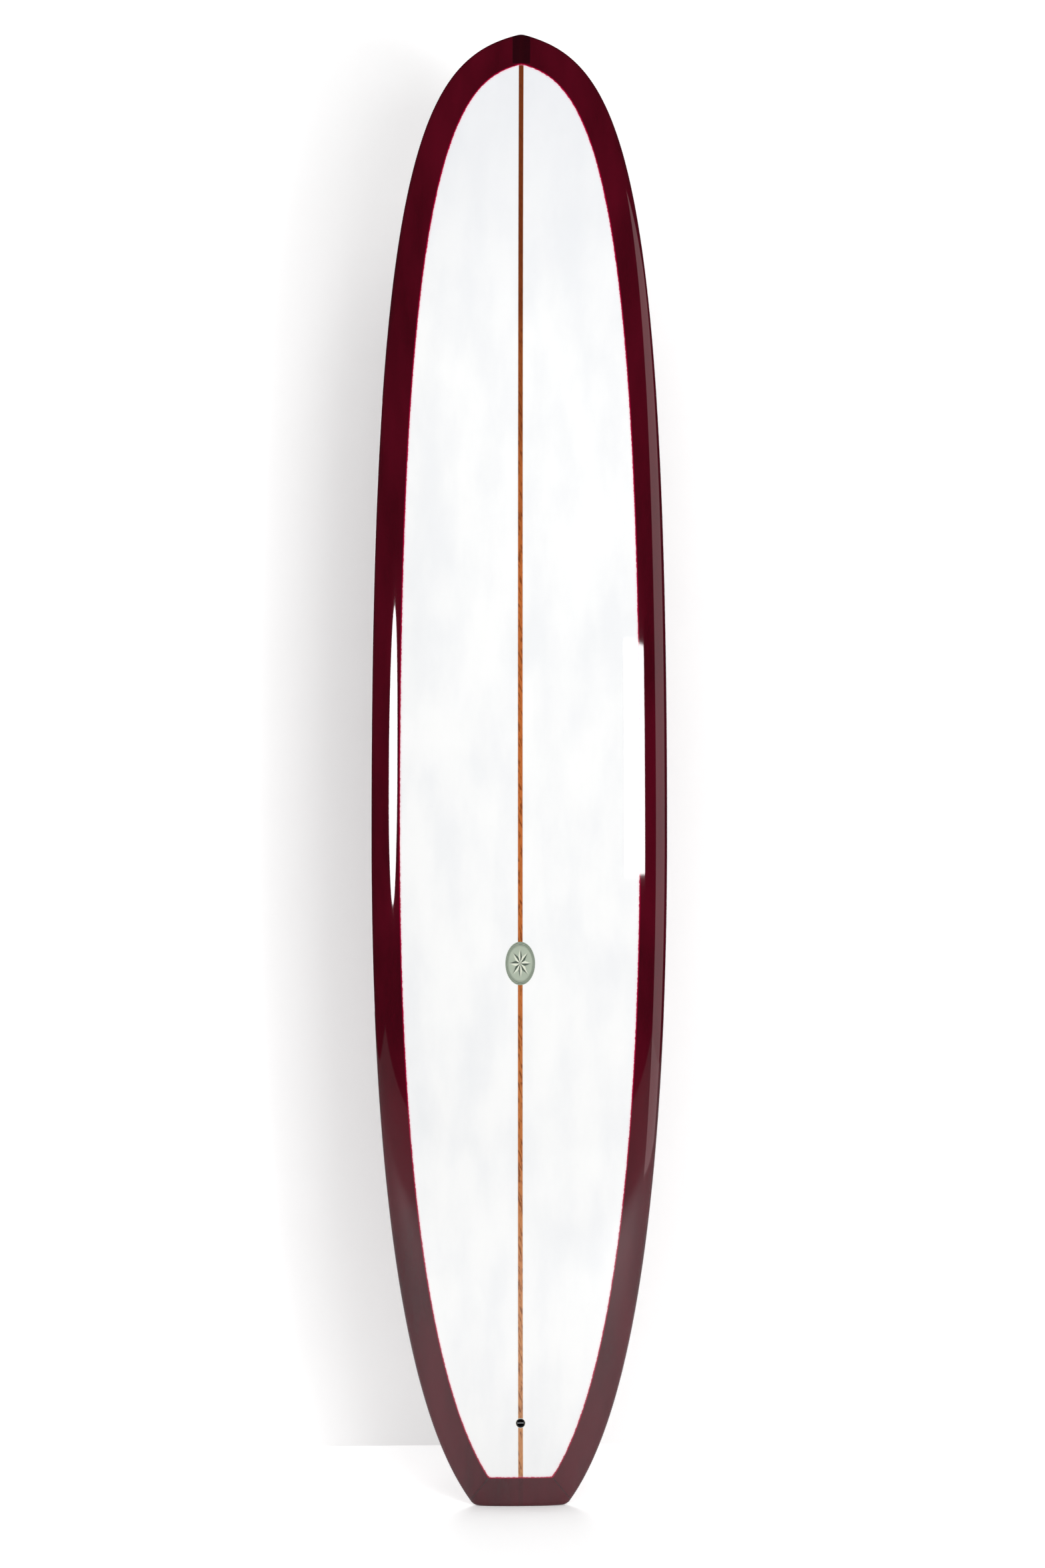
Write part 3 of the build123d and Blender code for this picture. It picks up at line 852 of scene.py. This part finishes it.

# %% [markdown]
# ## The tinted wrap
#
# Pigment in the resin gives a deep oxblood. Over the middle of the nose, above the lap's tip, it is
# darker in a strip about 3.4 cm wide, and where the cloth is folded over at the tail's mitres it is
# darker too.
# Along the razor cut it glows crimson. The tint pools a little unevenly, as poured resin does.

# %% Tinted laminate material
def tinted_wrap():
    """Tint by pooling and weave, then the glow by distance to the cut, the dark nose strip, the tail's
    folds and the stringer.
    """
    material, tree, shader = gloss("tinted_wrap")
    x, y, z = axis_values(tree, position(tree))
    aside = sums(tree, "ABSOLUTE", x)
    outward = sums(tree, "MULTIPLY", stored(tree, "lap_in"), -1.0)
    pooled = ramp(tree, noise(tree, stretched(tree, position(tree), (16, 16, 4)), 1.0, 4.0), 0.28, 0.72)
    tint = blend(tree, pooled, paint(50, 0, 9), paint(68, 2, 17))
    weave = cloth(tree)
    tint = blend(tree, sums(tree, "MULTIPLY", weave, 0.16), tint, paint(92, 6, 30))
    nick = sums(tree, "SUBTRACT", noise(tree, position(tree), 190.0, 5.0, 0.7), 0.5)
    ragged = sums(tree, "MULTIPLY_ADD", nick, 0.0016, outward)
    glow = ramp(tree, ragged, 0.0028, 0.0004)
    tint = blend(tree, glow, tint, paint(150, 0, 48))
    # A darker strip down the middle of the nose above the lap's tip, its edge made ragged by the pooling
    # noise.
    frayed = sums(tree, "MULTIPLY_ADD", sums(tree, "SUBTRACT", pooled, 0.5), 0.003, aside)
    above_lap = ramp(tree, z, LAP_TIP, LAP_TIP + 0.003)
    nose_dark_strip = sums(tree, "MULTIPLY", ramp(tree, frayed, 0.0182, 0.0155), above_lap)
    tint = blend(tree, sums(tree, "MULTIPLY", nose_dark_strip, 0.82), tint, paint(20, 0, 4))
    fold_line = sums(tree, "MULTIPLY_ADD", z, -0.8, float(lap_corner[0]) + 0.8 * LAP_WIDTH)
    fold_place = sums(tree, "ABSOLUTE", sums(tree, "SUBTRACT", aside, fold_line))
    below_lap = ramp(tree, z, LAP_WIDTH + 0.002, LAP_WIDTH)
    tail_fold = sums(tree, "MULTIPLY", ramp(tree, fold_place, 0.0034, 0.0008), below_lap)
    tint = blend(tree, sums(tree, "MULTIPLY", tail_fold, 0.4), tint, paint(26, 0, 6))
    under = sums(tree, "MULTIPLY", stringer_share(tree), 0.3)
    tint = blend(tree, under, tint, paint(40, 1, 6))
    feed(tree, shader.inputs["Base Color"], tint)
    feed(tree, shader.inputs["Roughness"], sums(tree, "MULTIPLY_ADD", weave, 0.10, 0.28))
    feed(tree, shader.inputs["Normal"], bump(tree, weave, 0.000012, 0.3))
    feed(tree, shader.inputs["Coat Normal"], swimming_coat(tree))
    return material


wrap_skin.data.materials.append(tinted_wrap())
print("rails use", wrap_skin.data.materials[0].name)

# %% [markdown]
# ## The emblem's engraving
#
# The print is a plain compass rose in grey-green ink: a rim of fine rings, hatching behind, and an
# eight-pointed star whose points are half dark and half pale. The turn round the middle is folded
# into one eighth, so one straight edge draws all sixteen sides of the star.

# %% Compass rose material
def compass_rose():
    """Star edge: radius times (cosine + slope times sine) of the folded turn equals its inner size."""
    material, tree, shader = gloss("compass_rose", Roughness=0.5)
    offset = centred(tree, position(tree), (0, 0, EMBLEM_PLACE[1]))
    unit = (1 / EMBLEM_HALF[0], 1, 1 / EMBLEM_HALF[1])
    x, _, z = axis_values(tree, stretched(tree, offset, unit))
    radius = sums(tree, "SQRT", sums(tree, "MULTIPLY_ADD", x, x, sums(tree, "MULTIPLY", z, z)))
    turn = sums(tree, "ARCTAN2", x, z)
    eighth = math.pi / 4
    folded = sums(tree, "PINGPONG", sums(tree, "ADD", turn, 2 * math.pi), eighth / 2)
    reach = sums(tree, "MULTIPLY_ADD", sums(tree, "SINE", folded), 3.4, sums(tree, "COSINE", folded))
    star = ramp(tree, sums(tree, "MULTIPLY", reach, radius), 0.735, 0.70)
    wave = sums(tree, "SINE", sums(tree, "MULTIPLY", turn, 8.0))
    shaded = ramp(tree, wave, -0.06, 0.06)
    hatch = sums(tree, "SINE", sums(tree, "MULTIPLY", sums(tree, "ADD", x, z), 62.0))
    ground = blend(tree, ramp(tree, hatch, -0.2, 0.5), paint(176, 184, 168), paint(120, 132, 118))
    point = blend(tree, shaded, paint(206, 210, 194), paint(62, 72, 64))
    rings = sums(tree, "SINE", sums(tree, "MULTIPLY", radius, 95.0))
    rim = blend(tree, ramp(tree, rings, -0.3, 0.3), paint(150, 160, 144), paint(74, 84, 76))
    inked = blend(tree, star, ground, point)
    inked = blend(tree, ramp(tree, radius, 0.80, 0.82), inked, rim)
    worn = ramp(tree, noise(tree, position(tree), 420.0, 4.0), 0.45, 0.8)
    inked = blend(tree, sums(tree, "MULTIPLY", worn, 0.35), inked, paint(192, 198, 184))
    feed(tree, shader.inputs["Base Color"], inked)
    feed(tree, shader.inputs["Coat Normal"], swimming_coat(tree))
    return material


emblem.data.materials.append(compass_rose())
print("emblem uses", emblem.data.materials[0].name)

# %% [markdown]
# ## Finishes for the CAD pieces
#
# The rest of the board keeps its CAD shape and only needs its finish. Foam is full of tiny cells.
# Moulded plastic has a fine grain. Turned and brushed metal is scratched round or along the piece.

# %% Give a CAD piece a finish
def finish_node(name, material):
    """Puts one material on a CAD node in place of the one it came with."""
    slots = frame["nodes"][name].material_slots
    for slot in slots:
        slot.material = material
    if not len(slots):
        frame["nodes"][name].data.materials.append(material)
    print(name, "->", material.name)


def foam_finish():
    """Foam: the distance to the nearest of many scattered points gives its cells."""
    material, tree, shader = new_material("foam_blank", Roughness=0.85)
    cells = tree.nodes.new("ShaderNodeTexVoronoi")
    feed(tree, cells.inputs["Vector"], position(tree))
    cells.inputs["Scale"].default_value = 900.0
    edge_share = ramp(tree, cells.outputs["Distance"], 0.1, 0.7)
    shade = blend(tree, edge_share, paint(226, 225, 218), paint(244, 243, 238))
    feed(tree, shader.inputs["Base Color"], shade)
    feed(tree, shader.inputs["Normal"], bump(tree, cells.outputs["Distance"], 0.0003, 0.5))
    return material


def cedar_finish():
    """Bare cedar: the strip's colour, with its pores as a height too."""
    material, tree, shader = new_material("cedar_strip", Roughness=0.55)
    feed(tree, shader.inputs["Base Color"], cedar_colour(tree))
    pores = noise(tree, stretched(tree, position(tree), PORE_STRETCH), 1.0, 4.0)
    feed(tree, shader.inputs["Normal"], bump(tree, pores, 0.0001, 0.4))
    return material


foam = foam_finish()
for side in ("foam_left", "foam_right"):
    finish_node(side, foam)
cedar = cedar_finish()
for strip in ("stringer", "stringer_tail"):
    finish_node(strip, cedar)


# %% Moulded plastic and resin
def moulded_plastic(name, dark, pale, grain):
    """Moulded plastic: a fine grain in its height, and faint scuffs in its colour and gloss."""
    material, tree, shader = new_material(name, IOR=1.48)
    scuff = noise(tree, stretched(tree, position(tree), (90, 90, 30)), 1.0, 5.0)
    scuff = ramp(tree, scuff, 0.5, 0.8)
    feed(tree, shader.inputs["Base Color"], blend(tree, scuff, dark, pale))
    feed(tree, shader.inputs["Roughness"], sums(tree, "MULTIPLY_ADD", scuff, 0.18, 0.27))
    height = noise(tree, position(tree), grain, 3.0)
    feed(tree, shader.inputs["Normal"], bump(tree, height, 0.00004, 0.5))
    return material


def set_resin(name, thin, thick):
    """Resin that was poured round a fitting: uneven in depth, glossy on top."""
    material, tree, shader = gloss(name, Roughness=0.3)
    depth = ramp(tree, noise(tree, position(tree), 140.0, 3.0), 0.3, 0.7)
    feed(tree, shader.inputs["Base Color"], blend(tree, depth, thin, thick))
    feed(tree, shader.inputs["Coat Normal"], swimming_coat(tree))
    return material


plug_plastic = moulded_plastic("plug_plastic", paint(18, 18, 20), paint(34, 34, 37), 2600.0)
finish_node("leash_plug_cup", plug_plastic)
box_plastic = moulded_plastic("box_plastic", paint(16, 16, 18), paint(40, 40, 43), 1800.0)
finish_node("fin_box", box_plastic)
finish_node("leash_plug_resin", set_resin("plug_resin", paint(226, 224, 214), paint(206, 203, 190)))
finish_node("fin_box_resin", set_resin("box_resin", paint(96, 10, 34), paint(58, 3, 16)))


# %% Metals
def worn_metal(name, bright, dull, scale, roughness):
    """Metal scratched along one way: stretched noise in its gloss, height and colour."""
    material, tree, shader = new_material(name, Metallic=1.0)
    place = centred(tree, position(tree), FIN_ORIGIN)
    scratch = noise(tree, stretched(tree, place, scale), 1.0, 5.0, 0.65)
    feed(tree, shader.inputs["Base Color"], blend(tree, ramp(tree, scratch, 0.35, 0.7), bright, dull))
    feed(tree, shader.inputs["Roughness"], sums(tree, "MULTIPLY_ADD", scratch, 0.25, roughness))
    feed(tree, shader.inputs["Normal"], bump(tree, scratch, 0.00002, 0.4))
    return material


STEEL = (paint(205, 206, 208), paint(150, 152, 156))
finish_node("leash_plug_pin", worn_metal("pin_steel", *STEEL, (120, 2600, 2600), 0.16))
finish_node("fin_screw", worn_metal("screw_steel", *STEEL, (2200, 300, 2200), 0.14))
BRASS = (paint(206, 170, 98), paint(146, 112, 58))
finish_node("fin_cross_pin", worn_metal("pin_brass", *BRASS, (120, 2600, 2600), 0.2))
finish_node("fin_nut_plate", worn_metal("plate_brass", *BRASS, (160, 2200, 2200), 0.24))

# %% [markdown]
# ## The fin
#
# A fin is a stack of tinted glass cloth, ground down to its foil. Grinding cuts through layer after
# layer, so each layer's edge shows as a thin line of equal thickness, like the contours on a map.
# The distance from the fin's middle plane is the thickness, so it draws those lines by itself.

# %% Ground glass laminate
HALF_LAYER = 0.00027
FIN_REACH = 0.235


def ground_fin_glass():
    """A line wherever the distance from the middle plane is a whole number of cloth layers."""
    material, tree, shader = gloss("ground_fin_glass", Roughness=0.3)
    place = position(tree)
    x, _, _ = axis_values(tree, place)
    height = reach_along(tree, centred(tree, place, FIN_ORIGIN), FIN_OUTWARD)
    swell = sums(tree, "SUBTRACT", noise(tree, place, 26.0, 3.0), 0.5)
    layer = sums(tree, "MULTIPLY_ADD", swell, 0.00022, sums(tree, "ABSOLUTE", x))
    step = sums(tree, "PINGPONG", layer, HALF_LAYER)
    line = ramp(tree, step, 0.00006, 0.00001)
    toward_tip = ramp(tree, height, 0.0, FIN_REACH)
    tint = blend(tree, toward_tip, paint(84, 4, 22), paint(142, 14, 46))
    tint = blend(tree, sums(tree, "MULTIPLY", line, 0.55), tint, paint(190, 64, 96))
    weave = cloth(tree)
    tint = blend(tree, sums(tree, "MULTIPLY", weave, 0.28), tint, paint(120, 12, 40))
    feed(tree, shader.inputs["Base Color"], tint)
    feed(tree, shader.inputs["Normal"], bump(tree, weave, 0.00001, 0.3))
    return material


finish_node("fin", ground_fin_glass())

# %% [markdown]
# ## The studio
#
# The board stands on a pale floor close to a pale wall. Both are seen from their front only: from
# behind they are clear, so the board can be looked at from all round. The wall is also left out of
# reflections and blocks no light, so that it doesn't hide the lights behind it.

# %% Floor and wall
def plain_paint(name, shade, glow):
    """Matt paint with faint roller marks, clear from behind. Its glow stands for light from the room."""
    material, tree, shader = new_material(name, Roughness=0.8, Emission_Strength=glow)
    shader.inputs["Emission Color"].default_value = WHITE
    patch = noise(tree, position(tree), 1.3, 4.0)
    colour = blend(tree, patch, paint(shade, shade, shade), paint(shade - 5, shade - 5, shade - 5))
    feed(tree, shader.inputs["Base Color"], colour)
    roller = noise(tree, position(tree), 160.0, 4.0)
    feed(tree, shader.inputs["Normal"], bump(tree, roller, 0.0004, 0.15))
    clear = tree.nodes.new("ShaderNodeBsdfTransparent")
    mix = tree.nodes.new("ShaderNodeMixShader")
    feed(tree, mix.inputs[0], tree.nodes.new("ShaderNodeNewGeometry").outputs["Backfacing"])
    tree.links.new(shader.outputs[0], mix.inputs[1])
    tree.links.new(clear.outputs[0], mix.inputs[2])
    tree.links.new(mix.outputs[0], tree.nodes["Material Output"].inputs["Surface"])
    return material


def add_stage(name, corners, material):
    """A flat sheet with four corners, not attached to any body of the board."""
    mesh = bpy.data.meshes.new(name)
    mesh.from_pydata(corners, [], [(0, 1, 2, 3)])
    piece = bpy.data.objects.new(name, mesh)
    bpy.context.scene.collection.objects.link(piece)
    mesh.materials.append(material)
    return piece


WALL_PLACE, SPAN = 0.55, 7.0
floor_corners = [(-SPAN, -SPAN, 0), (SPAN, -SPAN, 0), (SPAN, SPAN, 0), (-SPAN, SPAN, 0)]
wall_corners = [(x, WALL_PLACE, z) for x, z in ((-SPAN, 0), (SPAN, 0), (SPAN, SPAN), (-SPAN, SPAN))]
add_stage("floor", floor_corners, plain_paint("floor_paint", 246, 0.22))
wall = add_stage("wall", wall_corners, plain_paint("wall_paint", 248, 0.13))
print("wall", WALL_PLACE, "m behind the board")
wall.visible_glossy = False
wall.visible_shadow = False

# %% [markdown]
# ## The lights
#
# A glossy board is lit by what it mirrors. A softbox on each side draws a long streak on each rail,
# and a rosy panel further round gives the right rail a paler band. The panel is for reflections
# only and lights no matt surface. Two lights do the opposite: one in front throws the board's soft
# shadow onto the wall, one overhead evens the deck, and neither shows as a reflection. Three more
# stand behind the board for its bottom. None of the lights can be seen by the camera itself.
#
# The world is bright white where the camera sees it, and nearly black to everything else. A bright
# world would be mirrored all over the gloss and turn the deep tint hazy.

# %% Softboxes
def around(azimuth, distance, height):
    """A place round the board: azimuth 0 is in front of the deck and 90 on its right, in degrees."""
    turn = math.radians(azimuth)
    return (distance * math.sin(turn), -distance * math.cos(turn), height)


def softbox(name, place, width, height, watts, shape="RECTANGLE", mirrored=True):
    """An area light at a place, turned to face the middle of the board."""
    data = bpy.data.lights.new(name, "AREA")
    data.shape, data.size, data.size_y, data.energy = shape, width, height, watts
    light = bpy.data.objects.new(name, data)
    bpy.context.scene.collection.objects.link(light)
    x, y, z = np.array([0, 0, LENGTH / 2]) - np.array(place, float)
    light.location = place
    light.rotation_euler = (math.pi / 2 + math.atan2(z, math.hypot(x, y)), 0, -math.atan2(x, y))
    light.visible_camera = False
    light.visible_glossy = mirrored
    return light


softbox("left_streak", around(-31, 5.0, 1.47), 0.66, 1.04, 46, shape="ELLIPSE")
softbox("right_streak", around(27.5, 5.0, 1.47), 0.98, 0.80, 62)
panel = softbox("right_panel", around(66, 4.4, 1.5), 3.0, 3.6, 66)
panel.data.color = (1.0, 0.70, 0.72)
panel.visible_diffuse = False
softbox("front", around(17, 4.6, 2.2), 1.6, 1.6, 54, mirrored=False)
softbox("overhead", (0.0, -3.2, 4.6), 2.8, 1.6, 95, mirrored=False)
softbox("back_left", around(-169, 4.7, 1.7), 0.5, 2.2, 15)
softbox("back_right", around(169, 4.7, 1.7), 0.5, 2.2, 10)
softbox("back_fill", around(180, 4.2, 3.0), 2.4, 1.6, 120, mirrored=False)

WORLD_STRENGTH, EXTRA_WHEN_SEEN = 0.05, 0.82
world = bpy.data.worlds.new("studio")
world.use_nodes = True
backdrop = world.node_tree.nodes["Background"]
backdrop.inputs["Color"].default_value = WHITE
seen = world.node_tree.nodes.new("ShaderNodeLightPath").outputs["Is Camera Ray"]
world_glow = sums(world.node_tree, "MULTIPLY_ADD", seen, EXTRA_WHEN_SEEN, WORLD_STRENGTH)
feed(world.node_tree, backdrop.inputs["Strength"], world_glow)
bpy.context.scene.world = world
bpy.context.scene.view_settings.view_transform = "Standard"
